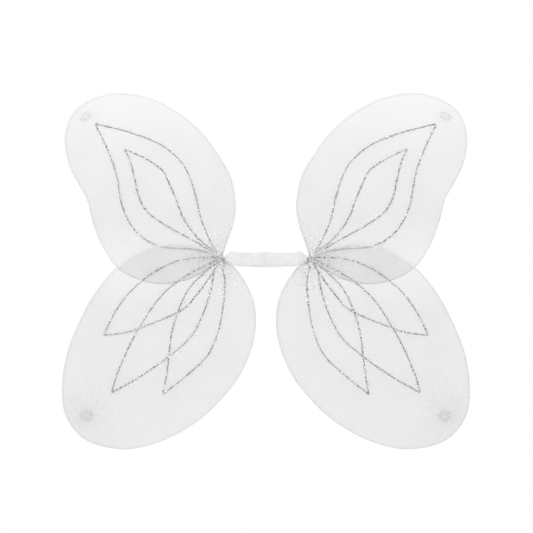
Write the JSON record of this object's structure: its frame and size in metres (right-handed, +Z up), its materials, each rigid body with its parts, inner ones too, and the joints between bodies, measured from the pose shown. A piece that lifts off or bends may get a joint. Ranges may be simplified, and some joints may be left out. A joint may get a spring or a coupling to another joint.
{
  "type": "fairy wings",
  "caption": "Costume fairy wings of sheer white net on folding wire frames, with silver glitter leaf outlines, a padded back band and elastic arm loops.",
  "frame": {"origin": "middle of the patch on the back of the band, on the face that rests between the wearer's shoulder blades", "axes": "+X to the wearer's right, +Y from the wings towards the wearer, +Z up"},
  "size_m": [0.4978, 0.1134, 0.4353],
  "materials": {
    "coated_wire": "satin",
    "sheer_nylon": "satin",
    "glitter": "gloss",
    "gathered_nylon": "satin",
    "thread": "satin",
    "band_cloth": "matte",
    "wadding": "matte",
    "crimp_aluminium": "satin",
    "elastic": "matte",
    "felt": "matte"
  },
  "bodies": {
    "band": {"band_sleeve": "band_cloth", "foam_core": "wadding", "upper_spine_wire_top": "coated_wire", "upper_spine_wire_bottom": "coated_wire", "lower_spine_wire_top": "coated_wire", "lower_spine_wire_bottom": "coated_wire", "left_wire_crimp": "crimp_aluminium", "right_wire_crimp": "crimp_aluminium", "strap_tape": "elastic", "back_patch": "felt"},
    "left_upper_wing": {"left_upper_frame_wire": "coated_wire", "left_upper_net": "sheer_nylon", "left_upper_glitter": "glitter", "left_upper_tip_knot": "gathered_nylon", "left_upper_root_tie": "thread"},
    "left_lower_wing": {"left_lower_frame_wire": "coated_wire", "left_lower_net": "sheer_nylon", "left_lower_glitter": "glitter", "left_lower_tip_knot": "gathered_nylon", "left_lower_root_tie": "thread"},
    "right_upper_wing": {"right_upper_frame_wire": "coated_wire", "right_upper_net": "sheer_nylon", "right_upper_glitter": "glitter", "right_upper_tip_knot": "gathered_nylon", "right_upper_root_tie": "thread"},
    "right_lower_wing": {"right_lower_frame_wire": "coated_wire", "right_lower_net": "sheer_nylon", "right_lower_glitter": "glitter", "right_lower_tip_knot": "gathered_nylon", "right_lower_root_tie": "thread"},
    "left_arm_strap": {"left_arm_loop": "elastic"},
    "right_arm_strap": {"right_arm_loop": "elastic"}
  },
  "joints": [
    {"name": "left_wing_fold", "type": "hinge", "parent": "band", "child": "left_upper_wing", "pos_m": [-0.046, -0.0098, 0], "axis": [0, 0, 1], "range_deg": [-20, 80]},
    {"name": "left_lower_flex", "type": "hinge", "parent": "left_upper_wing", "child": "left_lower_wing", "pos_m": [-0.046, -0.0098, 0], "axis": [0, 0, 1], "range_deg": [0, 20]},
    {"name": "left_loop_swing", "type": "hinge", "parent": "band", "child": "left_arm_strap", "pos_m": [-0.02, 0.004, 0], "axis": [1, 0, 0], "range_deg": [-70, 40], "stiffness_Nm_per_rad": 0.02},
    {"name": "right_wing_fold", "type": "hinge", "parent": "band", "child": "right_upper_wing", "pos_m": [0.046, -0.0098, 0], "axis": [0, 0, -1], "range_deg": [-20, 80]},
    {"name": "right_lower_flex", "type": "hinge", "parent": "right_upper_wing", "child": "right_lower_wing", "pos_m": [0.046, -0.0098, 0], "axis": [0, 0, -1], "range_deg": [0, 20]},
    {"name": "right_loop_swing", "type": "hinge", "parent": "band", "child": "right_arm_strap", "pos_m": [0.02, 0.004, 0], "axis": [1, 0, 0], "range_deg": [-70, 40], "stiffness_Nm_per_rad": 0.02}
  ]
}
